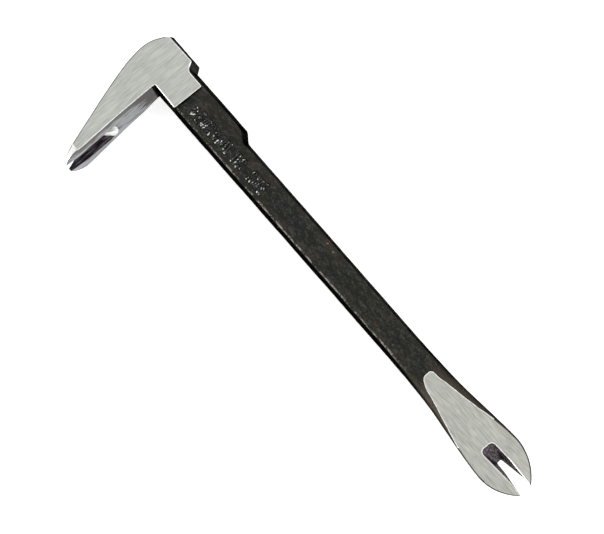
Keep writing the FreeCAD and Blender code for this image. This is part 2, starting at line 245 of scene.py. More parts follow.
def quarter_section(half_width, inset, crown, power):
    """A quarter of the section, from the parting line to mid width; crown 0 is a drafted bar, 1 a lens."""
    corner = np.array((half_width - inset, HALF_THICK))
    side = np.array((half_width, 0.0))
    down = (side - corner) / np.linalg.norm(side - corner)
    start, finish = corner + down * CORNER_RADIUS, corner - (CORNER_RADIUS, 0)
    bend = np.linspace(0, 1, ROUND_STEPS)[:, None]
    rounded = (1 - bend) ** 2 * start + 2 * bend * (1 - bend) * corner + bend ** 2 * finish
    flank = side + (start - side) * np.linspace(0, 1, FLANK_STEPS, endpoint=False)[:, None]
    face_steps = QUARTER + 2 - FLANK_STEPS - ROUND_STEPS
    face = finish + ((0, HALF_THICK) - finish) * np.linspace(0, 1, face_steps)[1:, None]
    drafted = np.vstack((flank, rounded, face))
    angle = np.linspace(0, math.pi / 2, QUARTER + 1)[:, None]
    lens = np.hstack((half_width * np.cos(angle).clip(0) ** (2 / power),
                      HALF_THICK * np.sin(angle) ** (2 / power)))
    return drafted * (1 - crown) + lens * crown


def bar_rings():
    """The forged skin of the bar, ring by ring, before any unevenness."""
    stations = np.append(np.arange(BAR_START, LENGTH, STATION_STEP), LENGTH)
    drop = soft_step(stations, NECK_END - SHOULDER_RUN, NECK_END)
    neck = NECK_TOP - (NECK_TOP - HALF_WIDTH) * drop
    upper = np.where(stations < BLADE_START, neck, blade_edge(stations, UPPER_EDGE, UPPER_TIP))
    lower = np.where(stations < BLADE_START, HALF_WIDTH, blade_edge(stations, LOWER_EDGE, LOWER_TIP))
    crown = smooth(BLADE_START - 4, APEX + 2, stations)
    scoop = np.exp(-((stations - NECK_END + SCOOP_BACK) / SCOOP_RUN) ** 2)
    upper_inset = NECK_INSET - INSET_DROP * smooth(NECK_END, NECK_END + 6, stations) + SCOOP_INSET * scoop
    upper_power, lower_power = spline(stations, UPPER_POWER), spline(stations, LOWER_POWER)
    rings = []
    for i, x in enumerate(stations):
        up = quarter_section(upper[i], upper_inset[i], crown[i], upper_power[i])
        low = quarter_section(lower[i], LOWER_INSET, crown[i], lower_power[i])
        front = np.vstack((up, (low * (-1, 1))[-2::-1]))
        back = (front * (1, -1))[-2:0:-1]
        ring = np.vstack((front, back))
        rings.append(np.column_stack((np.full(len(ring), x), ring)))
    return np.array(rings)


def ring_normals(rings):
    """Outward directions at the points of a grid of rings, from each point's neighbours."""
    around = np.roll(rings, -1, axis=1) - np.roll(rings, 1, axis=1)
    along = np.gradient(rings, axis=0)
    normals = np.cross(along, around)
    normals /= np.linalg.norm(normals, axis=2, keepdims=True)
    middle = rings.mean(axis=1, keepdims=True)
    inward = np.sum(normals * (rings - middle), axis=(1, 2)).sum() < 0
    return -normals if inward else normals


def make_bar(materials):
    """The bar's uneven skin, with the tail's two faces ground through it and its nail slot cut."""
    rings = bar_rings()
    uneven = unevenness(rings.reshape(-1, 3)).reshape(rings.shape[:2])
    rings = rings + ring_normals(rings) * uneven[:, :, None]
    bm = grid_mesh(rings.tolist())
    for face in bm.faces:
        face.smooth = True
    for side in (1, -1):
        grind(bm, (APEX, 0, side * HALF_THICK), (GRIND_SLOPE, 0, side), TAIL_GROUND)
    bar = new_object("bar", bm, materials)
    combine(bar, tail_slot_cutter(materials))
    return bar


# Levels of the tail's slot from the front backwards: z, root, root half, tip half, radius and shift.
TAIL_SLOT = ((4.0, 221.6, 4.5, 4.1, 2.6, 0.0), (-2.4, 234.6, 0.45, 2.2, 0.3, 0.2))


def tail_slot_cutter(materials):
    """Wide on the front and narrow on the back, with a ramp from its root."""
    levels = []
    for z, root, root_half, tip_half, radius, shift in TAIL_SLOT:
        outline = slot_outline(root, LENGTH + 3, root_half, tip_half, radius)
        levels.append([(x, y - SLOT_DRIFT + shift, z) for x, y in outline])
    bm = grid_mesh(levels)
    for face in bm.faces:
        face.material_index = SLOT
    return new_object("tail_slot", bm, materials)


# ---------------------------------------------------------------- the head

FILLET_SHARE = 0.45  # of the shorter side beside a corner that is as round as it can be
OUTLINE_STEP = 0.5
FILLET_STEP = 0.25  # a finer step, for the fillets of corners that turn more than this angle in radians
FINE_TURN = 0.5


def fillets(corners):
    """Each corner's place, the directions to its neighbours, its turn and how far its fillet reaches."""
    places = np.array([corner[:2] for corner in corners])
    before = np.roll(places, 1, axis=0) - places
    after = np.roll(places, -1, axis=0) - places
    lengths = np.linalg.norm(after, axis=1)
    before /= np.linalg.norm(before, axis=1)[:, None]
    after /= lengths[:, None]
    turns = math.pi - np.arccos(np.clip(np.sum(before * after, axis=1), -1, 1))
    room = FILLET_SHARE * np.minimum(lengths, np.roll(lengths, 1))
    reaches = np.array([room[i] if corner[2] is None else corner[2] * math.tan(turns[i] / 2)
                        for i, corner in enumerate(corners)])
    return places, before, after, lengths, turns, reaches


def outline_counts(corners):
    """How many steps each corner's fillet and the straight after it take."""
    _, _, _, lengths, turns, reaches = fillets(corners)
    straights = lengths - reaches - np.roll(reaches, -1)
    steps = np.where(turns > FINE_TURN, FILLET_STEP, OUTLINE_STEP)
    return (np.maximum(3, np.round(2 * reaches / steps)).astype(int),
            np.maximum(1, np.round(straights / OUTLINE_STEP)).astype(int))


def rounded_outline(corners, counts):
    """A closed outline through corners (x, y, radius), and which side each point is on.

    Side i runs from corner i to the next; the fillet at a corner is shared between its two sides.
    """
    places, before, after, _, _, reaches = fillets(corners)
    points, sides = [], []
    for i, here in enumerate(places):
        j = (i + 1) % len(places)
        start = here + before[i] * reaches[i]
        finish = here + after[i] * reaches[i]
        stop = places[j] - after[i] * reaches[j]
        for t in np.linspace(0, 1, counts[0][i] + 1):
            points.append((1 - t) ** 2 * start + 2 * t * (1 - t) * here + t * t * finish)
            sides.append((i - 1) % len(places) if t < 0.5 else i)
        for t in np.arange(1, counts[1][i]) / counts[1][i]:
            points.append(finish + (stop - finish) * t)
            sides.append(i)
    return np.array(points), np.array(sides)


def head_half(y):
    """Half the head's thickness: its two ground faces flare towards the claw."""
    return HEAD_HALF - math.tan(HEAD_FLARE) * y


# The head's outline at its ground faces, in order round it: x, y, how far x and y move by the parting line,
# and the corner's radius, where None is as round as it can be.
NECK_JOIN = NECK_START - 0.15
TOP_CORNERS = ((NECK_JOIN, -6.1, 0, -0.95, 0.3), (NECK_JOIN, 7.75, 0, 1.3, 0.6), (21.3, 7.85, 2.7, 1.3, 3.2),
               (19.3, 11.35, 2.0, 1.3, 0.6), (4.8, 11.15, -0.9, 1.5, 0.6))
HEEL_CURVE = ((3.3, 9.1, -0.9, 0, None), (1.8, 6.1, -0.9, 0, None), (0.9, 2.4, -0.85, 0, None),
              (1.0, -2.4, -0.85, 0, None), (1.95, -7.7, -0.8, 0, None), (4.0, -15.2, -0.7, 0, None),
              (8.2, -27.5, -0.55, 0, None), (12.7, -40.0, -0.4, 0, None))
TIP_CORNERS = ((17.5, CLAW_TIP, -0.1, 0, 0.2), (18.25, CLAW_TIP, 0, 0, 0.2))
UNDERSIDE_CURVE = ((18.75, -45.0, 0, 0, None), (18.35, -39.0, 0, 0, None), (18.0, -32.0, 0, 0, None),
                   (17.55, -25.0, 0, 0, None), (17.25, -15.0, 0, 0, None))
INNER_CORNER = (17.1, -5.65, 0, -1.3, 0.8)
HEAD_OUTLINE = (*TOP_CORNERS, *HEEL_CURVE, *TIP_CORNERS, *UNDERSIDE_CURVE, INNER_CORNER)

# Sides of the outline that stay smooth: the claw's end, and the underside.
TIP_SIDE = len(TOP_CORNERS) + len(HEEL_CURVE)
UNDERSIDE = tuple(range(TIP_SIDE + 1, len(HEAD_OUTLINE) - 1))

UNDERSIDE_LEAN = 0.03  # the underside turns a little towards the front
LEAN_PIVOT = 8.3  # the height at which that leaves it in place
POLISHED_FROM = -7.5  # where the polish starts outside the inner corner
BLEND_POINTS = 5  # over which the unevenness fades in beside the smooth sides


def head_corners(level):
    """The head's outline at a height, 1 at the ground faces and 0 at the parting line."""
    out = 1 - level
    return [(x + out_x * out, y + out_y * out, radius) for x, y, out_x, out_y, radius in HEAD_OUTLINE]


def make_head(materials):
    """The drafted walls of the head, uneven except on its smooth sides, between its two flat ground faces."""
    counts = outline_counts(head_corners(1))
    shares = np.linspace(-1, 1, HEAD_ROWS)
    rings = []
    for share in shares:
        outline, sides = rounded_outline(head_corners(abs(share)), counts)
        rings.append(np.column_stack((outline, share * head_half(outline[:, 1]))))
    rings = np.array(rings)
    lean = np.isin(sides, UNDERSIDE) * smooth(-8, -16, rings[:, :, 1])
    rings[:, :, 0] += UNDERSIDE_LEAN * (LEAN_PIVOT - rings[:, :, 2]) * lean
    rough = np.isin(sides, (TIP_SIDE, *UNDERSIDE), invert=True).astype(float)
    reach = BLEND_POINTS // 2
    around = np.concatenate((rough[-reach:], rough, rough[:reach]))
    rough = np.convolve(around, np.ones(BLEND_POINTS) / BLEND_POINTS, "valid")
    uneven = unevenness(rings.reshape(-1, 3)).reshape(rings.shape[:2]) * rough
    rings = rings + ring_normals(rings) * uneven[:, :, None]
    rings[:, :, 2] = shares[:, None] * head_half(rings[:, :, 1])
    bm = grid_mesh(rings.tolist())
    for face in bm.faces:
        face.smooth = True
        under = face.normal.x > 0.9 and face.calc_center_median().y < POLISHED_FROM
        face.material_index = POLISHED if under else BLACK
        if len(face.verts) > 4:
            face.material_index = HEAD_GROUND
    head = new_object("head", bm, materials)
    combine(head, claw_corner_cutter(materials))
    combine(head, claw_slot_cutter(materials))
    return head


CORNER_START = -46.0  # where the claw's corners start, and half its thickness there and at the tips
CORNER_HALF = 8.9
TIP_HALF = 2.9
CORNER_ARC = 8.5  # their radius
PAST_TIPS = 4  # how far their cutter reaches past the tips
CUTTER_Z, CUTTER_X = 20, 30.0  # and where it ends, clear of the claw's faces and its underside


def claw_corner_outline():
    """The outline, as (y, z), of what comes off a corner of the claw: an arc from its side to its tip."""
    chord = Vector((CLAW_TIP - CORNER_START, TIP_HALF - CORNER_HALF))
    inward = Vector((-chord.y, chord.x)).normalized()
    to_centre = inward * math.sqrt(CORNER_ARC ** 2 - (chord.length / 2) ** 2)
    centre = Vector((CORNER_START, CORNER_HALF)) + chord / 2 + to_centre
    first = math.atan2(CORNER_HALF - centre.y, CORNER_START - centre.x)
    last = math.atan2(TIP_HALF - centre.y, CLAW_TIP - centre.x)
    arc = [(centre.x + CORNER_ARC * math.cos(angle), centre.y + CORNER_ARC * math.sin(angle))
           for angle in np.linspace(first, last, ARC_STEPS)]
    end = CLAW_TIP - PAST_TIPS
    return arc + [(end, TIP_HALF), (end, CUTTER_Z), (CORNER_START, CUTTER_Z)]


def claw_corner_cutter(materials):
    """Takes both outer corners off the claw."""
    waste = claw_corner_outline()
    bm = bmesh.new()
    for side in (1, -1):
        ends = [[bm.verts.new((x, y, side * z)) for y, z in waste] for x in (0.0, CUTTER_X)]
        for i in range(len(waste)):
            j = (i + 1) % len(waste)
            bm.faces.new((ends[0][i], ends[0][j], ends[1][j], ends[1][i]))
        bm.faces.new(ends[0][::-1])
        bm.faces.new(ends[1])
    bmesh.ops.recalc_face_normals(bm, faces=bm.faces)
    for face in bm.faces:
        face.material_index = CORNER
        face.smooth = True
    return new_object("claw_corners", bm, materials)


# Levels of the claw's slot from the underside inwards: x, root, root half, tip half, radius and shift.
CLAW_SLOT = ((19.4, 26.2, 4.3, 3.3, 2.9, -1.3), (14.6, 32.6, 3.0, 2.6, 2.0, -1.6),
             (8.5, 34.6, 0.75, 0.3, 0.5, 0.0))
CLAW_SCOOP_END = -33.2
SHIFT_START, SHIFT_RUN = 56.5, 20  # from just past the tips inwards, over this run, the shift comes in


def claw_slot_cutter(materials):
    """Wide on the underside and narrow on the outer face, with a scooped ramp at its root that carries the
    rims' painted highlight.
    """
    levels = []
    for x, root, root_half, tip_half, radius, shift in CLAW_SLOT:
        outline = slot_outline(root, -CLAW_TIP + 3, root_half, tip_half, radius)
        levels.append([(x, -along, across + shift * min(1, (SHIFT_START - along) / SHIFT_RUN))
                       for along, across in outline])
    bm = grid_mesh(levels)
    for face in bm.faces:
        # The scoop gets the rims' painted highlight.
        scoop = face.calc_center_median().y > CLAW_SCOOP_END
        face.material_index = RIM if scoop else SLOT
        face.smooth = True
    return new_object("claw_slot", bm, materials)


# ---------------------------------------------------------------- the mark

SIGN_WIDTH = 2.7
SIGN_MARGIN = 0.3  # taken off each side of that width for a sign's corners
SIGN_PITCH = 3.45
THIN, THICK = 0.74, 0.9
SLANT = 0.35  # how far a slanted bar's ends lie off its middle


def stroke(start, end, width=THIN):
    """The corners of a straight stroke."""
    start, end = Vector(start), Vector(end)
    across = Vector((start.y - end.y, end.x - start.x)).normalized() * width / 2
    return [start - across, end - across, end + across, start + across]


def open_diamond(w, h):
    """Four strokes round a diamond, open at its corners."""
    corners = [Vector(corner) for corner in ((-w, 0), (0, -h), (w, 0), (0, h))]
    return [stroke(corners[i].lerp(corners[i - 3], 0.22), corners[i].lerp(corners[i - 3], 0.80))
            for i in range(4)]


def three_bars(w, h):
    """Three thin bars that slant one way."""
    return [stroke((x - SLANT, -h), (x + SLANT, h)) for x in (-w, 0, w)]


def two_bars(w, h):
    """Two thick bars that slant the other way."""
    return [stroke((x + SLANT, -h), (x - SLANT, h), THICK) for x in (-0.8, 0.8)]


def two_chevrons(w, h, rise=0.7):
    """Two chevrons, one over the other, open at their points."""
    return [stroke((side * w, y - rise), (side * 0.35, y + rise))
            for side in (-1, 1) for y in (-h + rise, h - rise)]


def diamond_between_bars(w, h, reach=1.1):
    """A small diamond with a bar on either side."""
    diamond = [Vector(corner) for corner in ((-w, 0), (0, -reach), (w, 0), (0, reach))]
    return [stroke((-w, h), (w, h)), stroke((-w, -h), (w, -h)), diamond]


# The abstract signs. Each is strokes, as closed outlines of corners, and no two strokes touch.
SIGNS = (open_diamond, three_bars, two_bars, two_chevrons, diamond_between_bars)


# Levels of a stroke: height above the skin and how far its outline is drawn in, in millimetres, and material.
# The foot, the first levels, is painted dark as the stroke's shadow.
STROKE_LEVELS = ((-0.40, -0.40, MARK_FOOT), (0.02, -0.38, MARK_FOOT), (0.04, -0.05, MARK_FOOT),
                 (0.26, 0.02, MARK_TOP), (0.36, 0.08, MARK_TOP), (0.40, 0.18, MARK_TOP))


def raise_stroke(bm, corners):
    """One stroke of a sign: a drafted block with softened edges, and a foot round it painted dark as its
    shadow.
    """
    middle = sum(corners, Vector((0, 0))) / len(corners)
    rows = []
    for height, inset, _ in STROKE_LEVELS:
        row = []
        for i, corner in enumerate(corners):
            following = corners[(i + 1) % len(corners)]
            for t in (0, 0.25, 0.5, 0.75):
                point = corner.lerp(following, t)
                inward = middle - point
                point = point + inward.normalized() * min(inset, inward.length * 0.8)
                row.append(bm.verts.new((point.x, point.y, HALF_THICK + height)))
        rows.append(row)
    for level, (row, above) in enumerate(zip(rows, rows[1:])):
        for i in range(len(row)):
            j = (i + 1) % len(row)
            bm.faces.new((row[i], row[j], above[j], above[i])).material_index = STROKE_LEVELS[level + 1][2]
    bm.faces.new(rows[-1]).material_index = MARK_TOP
    bm.faces.new(rows[0][::-1]).material_index = MARK_FOOT


MIDDLE_GROUP = 62.2  # where the mark's second group starts


def make_mark(materials):
    """Three groups of raised signs; their tops are worn and uneven."""
    box_low, box_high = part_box("forging_mark")
    low = [(box_low[i] - ORIGIN[i]) / MM for i in range(3)]
    high = [(box_high[i] - ORIGIN[i]) / MM for i in range(3)]
    middle, half_height = (low[1] + high[1]) / 2, (high[1] - low[1]) / 2
    last_group = high[0] - SIGN_WIDTH - 2 * SIGN_PITCH
    groups = ((low[0], (0, 4, 1, 3, 0, 1, 2)), (MIDDLE_GROUP, (2, 3)), (last_group, (3, 1, 4)))
    bm = bmesh.new()
    for start, kinds in groups:
        for place, kind in enumerate(kinds):
            centre = Vector((start + place * SIGN_PITCH + SIGN_WIDTH / 2, middle))
            for outline in SIGNS[kind](SIGN_WIDTH / 2 - SIGN_MARGIN, half_height):
                raise_stroke(bm, [centre + Vector(corner) for corner in outline])
    mark = new_object("mark", bm, materials)
    skin = unevenness([(x, y, HALF_THICK) for x, y, _ in (vertex.co for vertex in mark.data.vertices)])
    for vertex, rise in zip(mark.data.vertices, skin):
        x, y, z = vertex.co
        worn = 0.10 * noise.noise((x / 1.5, y / 1.5, 5)) - 0.05 if z > HALF_THICK + 0.1 else 0
        vertex.co.z += rise + worn
    for face in mark.data.polygons:
        face.use_smooth = True
    return mark


# ---------------------------------------------------------------- cutting the forging into its zones

HEAD_OUTER = 16.5  # the outline of the heel and the claw lies before this
TAIL_SPREAD = 219  # from here on the tail's ground faces reach its outline
WORN_FROM = 236  # and from here on its lower corner is worn clean

# How wide the broken edges are, in millimetres.
RIM_WIDTH = 0.36
BACK_EDGE = 0.5
HEAD_EDGE = 0.65
TAIL_EDGE = 0.45
CORNER_BORDER = 0.28
WELD = 0.16  # points along an edge that lie closer than this become one before the edge is broken


def between(kinds, first, second):
    """Whether an edge's two materials are one of the first and one of the second."""
    return (kinds[0] in first and kinds[1] in second) or (kinds[1] in first and kinds[0] in second)


def on_outline(x, y):
    """Whether a place is on the outside of the heel, the claw or the spread tail."""
    return x < HEAD_OUTER and y < 11 - 0.2 * x or x > TAIL_SPREAD


def worn_clean(place):
    """Whether a place is on the lower corner of the tail, where use has rubbed the dark edge away."""
    return place.x > WORN_FROM and place.y < 0


def chosen_edges(bm, chosen):
    """The edges between two faces whose materials and place are the chosen ones."""
    edges = []
    for edge in bm.edges:
        if len(edge.link_faces) == 2:
            middle = (edge.verts[0].co + edge.verts[1].co) / 2
            if chosen([face.material_index for face in edge.link_faces], middle):
                edges.append(edge)
    return edges


def break_edges(piece, width, chosen, material):
    """Breaks the chosen edges with a narrow face, once the slivers beside them are joined up."""
    bm = bmesh.new()
    bm.from_mesh(piece.data)
    line = {vertex for edge in chosen_edges(bm, chosen) for vertex in edge.verts}
    beside = {edge.other_vert(vertex) for vertex in line for edge in vertex.link_edges} | line
    found = bmesh.ops.find_doubles(bm, verts=list(beside), keep_verts=list(line), dist=0.9 * width)
    bmesh.ops.weld_verts(bm, targetmap=found["targetmap"])
    line = {vertex for edge in chosen_edges(bm, chosen) for vertex in edge.verts}
    bmesh.ops.remove_doubles(bm, verts=list(line), dist=WELD)
    bmesh.ops.dissolve_degenerate(bm, edges=bm.edges, dist=0.01)
    bmesh.ops.bevel(bm, geom=chosen_edges(bm, chosen), offset=width, offset_type="WIDTH", segments=1,
                    profile=0.5, affect="EDGES", clamp_overlap=False, material=material)
    bmesh.ops.delete(bm, geom=[edge for edge in bm.edges if edge.is_wire], context="EDGES")
    bm.to_mesh(piece.data)
    bm.free()


def edge_corners(piece):
    """A narrow dark edge round the claw's bright corners, except where they meet the ground face."""
    bm = bmesh.new()
    bm.from_mesh(piece.data)
    corners = [face for face in bm.faces if face.material_index == CORNER]
    inset = bmesh.ops.inset_region(bm, faces=corners, thickness=CORNER_BORDER, use_even_offset=True)
    for face in inset["faces"]:
        if face.calc_center_median().y < CORNER_START - 0.3:
            face.material_index = BLACK
    bm.to_mesh(piece.data)
    bm.free()


GROUND = (HEAD_GROUND, TAIL_GROUND)


def is_rim(kinds, at):
    """Where a ground face meets the skin or a slot, but not on the outline or on the head's back edge."""
    on_back = POLISHED in kinds and at.z < 0
    inside = SLOT in kinds or not on_outline(at.x, at.y)
    return between(kinds, GROUND, (BLACK, SLOT, POLISHED)) and inside and not on_back


def is_back_edge(kinds, at):
    """Where the head's back face meets the polished underside."""
    return between(kinds, GROUND, (POLISHED,)) and at.z < 0


def is_dark_outline(kinds, at):
    """Where a ground face meets the skin on the outline."""
    return between(kinds, GROUND, (BLACK,)) and on_outline(at.x, at.y)


def is_head_outline(kinds, at):
    """The dark outline's half with the heel and the claw."""
    return is_dark_outline(kinds, at) and at.x < MID_LENGTH


def is_tail_outline(kinds, at):
    """The dark outline's half with the tail, except where it has worn away."""
    return is_dark_outline(kinds, at) and at.x > MID_LENGTH and not worn_clean(at)


def break_all_edges(forging):
    """Rims painted bright as highlights where the ground faces meet the skin and the slots; dark ones round
    the outline.
    """
    break_edges(forging, RIM_WIDTH, is_rim, RIM)
    break_edges(forging, BACK_EDGE, is_back_edge, BLACK)
    break_edges(forging, HEAD_EDGE, is_head_outline, BLACK)
    break_edges(forging, TAIL_EDGE, is_tail_outline, BLACK)
    edge_corners(forging)


def plane(axis, place, side):
    """A zone's limit: the zone lies on that side (1 or -1) of a plane across the axis."""
    point, outward = Vector((0, 0, 0)), Vector((0, 0, 0))
    point[axis] = place
    outward[axis] = -side
    return point, outward


HEAD_LIMIT = plane(0, NECK_START, -1)
ZONES = {
    "heel_block": (HEAD_LIMIT, plane(1, ARM_SPLIT, 1)),
    "claw_arm": (HEAD_LIMIT, plane(1, ARM_SPLIT, -1), plane(1, CLAW_GAP, 1)),
    "claw_prong_front": (HEAD_LIMIT, plane(1, CLAW_GAP, -1), plane(2, 0, 1)),
    "claw_prong_back": (HEAD_LIMIT, plane(1, CLAW_GAP, -1), plane(2, 0, -1)),
    "neck": (plane(0, NECK_START, 1), plane(0, NECK_END, -1)),
    "shank": (plane(0, NECK_END, 1), plane(0, BLADE_START, -1)),
    "tail_blade": (plane(0, BLADE_START, 1), plane(0, TAIL_GAP, -1)),
    "tail_prong_upper": (plane(0, TAIL_GAP, 1), plane(1, -SLOT_DRIFT, 1)),
    "tail_prong_lower": (plane(0, TAIL_GAP, 1), plane(1, -SLOT_DRIFT, -1)),
}


def cut_zone(forging, node, materials):
    """The part of the forging inside a zone's limits, closed where it meets its neighbours."""
    bm = bmesh.new()
    bm.from_mesh(forging.data)
    for point, outward in ZONES[node]:
        grind(bm, point, outward, BLACK)
    bmesh.ops.dissolve_degenerate(bm, edges=bm.edges, dist=0.005)
    bmesh.ops.holes_fill(bm, edges=[edge for edge in bm.edges if edge.is_boundary])
    bmesh.ops.recalc_face_normals(bm, faces=bm.faces)
    return new_object(node + "_forged", bm, materials)


def finish_piece(piece, node):
    """Turns a piece from this file's millimetres to the row's metres, and puts it in its node's place."""
    piece.data.transform(Matrix.Translation(ORIGIN) @ Matrix.Scale(MM, 4))
    piece.data.update()
    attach(piece, "root")
    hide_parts(node)


# ---------------------------------------------------------------- materials

class Nodes:
    """A material's node tree, with short names for the few kinds of node these materials use."""

    def __init__(self, name):
        self.material = bpy.data.materials.new(name)
        self.material.use_nodes = True
        self.tree = self.material.node_tree
        self.shader = self.tree.nodes["Principled BSDF"]
        self.place = self.new("ShaderNodeTexCoord").outputs

    def new(self, kind, **values):
        """A node of a kind, with its settings."""
        node = self.tree.nodes.new(kind)
        for key, value in values.items():
            setattr(node, key, value)
        return node

    def link(self, source, target):
        self.tree.links.new(source, target)

    def feed(self, socket, value):
        """Links a socket to an output, or gives it a plain value."""
        if isinstance(value, bpy.types.NodeSocket):
            self.link(value, socket)
        else:
            socket.default_value = value

    def math(self, operation, *values):
        node = self.new("ShaderNodeMath", operation=operation)
        for socket, value in zip(node.inputs, values):
            self.feed(socket, value)
        return node.outputs[0]

    def noise(self, size, detail=3.0, rough=0.55, stretch=(1, 1, 1), seed=0.0):
        """Noise with features of a size in millimetres, drawn out by stretch along each axis."""
        mapping = self.new("ShaderNodeMapping")
        mapping.inputs["Scale"].default_value = [1 / (MM * size * factor) for factor in stretch]
        mapping.inputs["Location"].default_value = (seed, seed * 0.7, -seed)
        self.link(self.place["Object"], mapping.inputs["Vector"])
        noise_node = self.new("ShaderNodeTexNoise")
        noise_node.inputs["Scale"].default_value = 1
        noise_node.inputs["Detail"].default_value = detail
        noise_node.inputs["Roughness"].default_value = rough
        self.link(mapping.outputs[0], noise_node.inputs["Vector"])
        return noise_node.outputs["Fac"]

    def ramp(self, value, low, high, to_low=0.0, to_high=1.0):
        """An S-shaped step of the value, from to_low to to_high."""
        node = self.new("ShaderNodeMapRange", interpolation_type="SMOOTHSTEP")
        for socket, number in zip(node.inputs, (value, low, high, to_low, to_high)):
            self.feed(socket, number)
        return node.outputs[0]

    def mix(self, share, first, second):
        """A colour between the first, at share 0, and the second, at share 1."""
        node = self.new("ShaderNodeMix", data_type="RGBA")
        self.feed(node.inputs["Factor"], share)
        for name, value in (("A", first), ("B", second)):
            socket = next(item for item in node.inputs if item.name == name and item.type == "RGBA")
            self.feed(socket, (*value, 1) if isinstance(value, tuple) else value)
        return next(item for item in node.outputs if item.type == "RGBA")

    def bump(self, height, depth):
        """A bump of a depth in millimetres."""
        node = self.new("ShaderNodeBump")
        node.inputs["Strength"].default_value = 1
        node.inputs["Distance"].default_value = depth * MM
        self.link(height, node.inputs["Height"])
        return node.outputs[0]

    def along(self, axis):
        """The place along an axis in this file's millimetres."""
        split = self.new("ShaderNodeSeparateXYZ")
        self.link(self.place["Object"], split.inputs[0])
        return self.math("MULTIPLY_ADD", split.outputs[axis], 1 / MM, -ORIGIN[axis] / MM)

    def facing(self, axis):
        """How much the surface faces along an axis."""
        split = self.new("ShaderNodeSeparateXYZ")
        self.link(self.place["Normal"], split.inputs[0])
        return split.outputs[axis]

    def set(self, **values):
        """Feeds the shader's sockets by name."""
        for key, value in values.items():
            self.feed(self.shader.inputs[key.replace("_", " ")], value)


def ground_material(name, stretch, tint, contrast):
    """Steel ground with a belt: fine straight scratches one way, and faint clouds."""
    m = Nodes(name)
    scratches = m.noise(0.45, 2.0, 0.7, stretch)
    wide = m.noise(0.9, 2.0, 0.6, stretch, 3.0)
    clouds = m.noise(9.0, 3.0, 0.6, (1, 1, 1), 8.0)
    mixed = m.math("ADD", m.math("MULTIPLY", scratches, 0.55), m.math("MULTIPLY", wide, 0.33))
    mixed = m.math("ADD", mixed, m.math("MULTIPLY", clouds, 0.12))
    dark = tuple(channel * (1 - contrast) for channel in tint)
    light = tuple(channel * (1 + contrast) for channel in tint)
    m.set(Base_Color=m.mix(m.ramp(mixed, 0.33, 0.67), dark, light), Metallic=1.0,
          Roughness=m.ramp(mixed, 0.3, 0.7, 0.34, 0.46), Normal=m.bump(mixed, 0.012))
    return m.material


def polished_material():
    """The claw's underside: worn smooth and streaked, with painted shade as a dark band along its front edge,
    and a painted reflection of the black neck darkening it towards the inner corner.
    """
    m = Nodes("polished_steel")
    scratches = m.noise(0.25, 2.0, 0.6, (1, 30, 1), 2.0)
    stains = m.noise(0.8, 3.0, 0.6, (1, 14.0, 1), 5.0)
    # Painted shade: a dark band along the front edge, wavy and wider towards the tip, with a thin darker line
    # right at the edge.
    half = m.math("MULTIPLY_ADD", m.along(1), -math.tan(HEAD_FLARE), HEAD_HALF)
    inset = m.math("SUBTRACT", half, m.along(2))
    inset = m.math("ADD", inset, m.ramp(m.along(1), -24.0, -13.0, 0.0, -2.2))
    edge = m.ramp(m.math("MULTIPLY_ADD", stains, 11.0, m.math("SUBTRACT", inset, 5.5)), 3.4, 1.9)
    edge = m.math("MAXIMUM", edge, m.ramp(inset, 1.25, 0.75))
    # Painted reflection of the black neck: the underside darkens towards the inner corner.
    corner = m.ramp(m.along(1), -19.0, -9.0, 0.0, 0.20)
    share = m.ramp(m.math("ADD", stains, corner), 0.51, 0.62)
    share = m.math("MAXIMUM", share, m.math("MULTIPLY", edge, 0.92))
    m.set(Base_Color=m.mix(share, (0.275, 0.288, 0.30), (0.048, 0.042, 0.038)),
          Roughness=m.ramp(stains, 0.35, 0.7, 0.14, 0.26), Normal=m.bump(scratches, 0.006))
    m.shader.inputs["Metallic"].default_value = 1.0
    return m.material


def painted_highlight_material(name, dull):
    """The broken edges of the ground faces, the claw's scoop and its corners: a near white painted highlight,
    with duller spots.
    """
    m = Nodes(name)
    grain = m.noise(1.1, 3.0, 0.6, (1, 1, 1), 12.0)
    # Painted highlight: the near white base colour stands in for the light these narrow faces catch.
    m.set(Base_Color=m.mix(m.ramp(grain, 0.35, 0.6), dull, (0.93, 0.93, 0.91)), Metallic=1.0,
          Roughness=m.ramp(grain, 0.3, 0.7, 0.25, 0.38), Normal=m.bump(grain, 0.01))
    return m.material


def slot_material():
    """The walls of the nail slots: dark with a purple cast; the tail slot's ramp is rubbed lighter."""
    m = Nodes("slot_steel")
    grain = m.noise(0.6, 4.0, 0.6, (1, 1, 1), 4.0)
    streaks = m.noise(0.7, 2.0, 0.5, (1, 9, 1), 16.0)
    ramp = m.ramp(m.math("ABSOLUTE", m.facing(0)), 0.25, 0.45)
    walls = m.mix(m.ramp(streaks, 0.45, 0.66), (0.030, 0.023, 0.028), (0.16, 0.145, 0.152))
    floor = m.mix(m.ramp(grain, 0.46, 0.66), (0.050, 0.041, 0.047), (0.17, 0.16, 0.165))
    m.set(Base_Color=m.mix(ramp, walls, floor), Roughness=m.ramp(grain, 0.3, 0.7, 0.36, 0.55),
          Normal=m.bump(grain, 0.03))
    m.shader.inputs["Metallic"].default_value = 1.0
    return m.material


NICKS_AT = 44.5
BARE_STEEL_AND_HIGHLIGHT = (0.34, 0.32, 0.28)


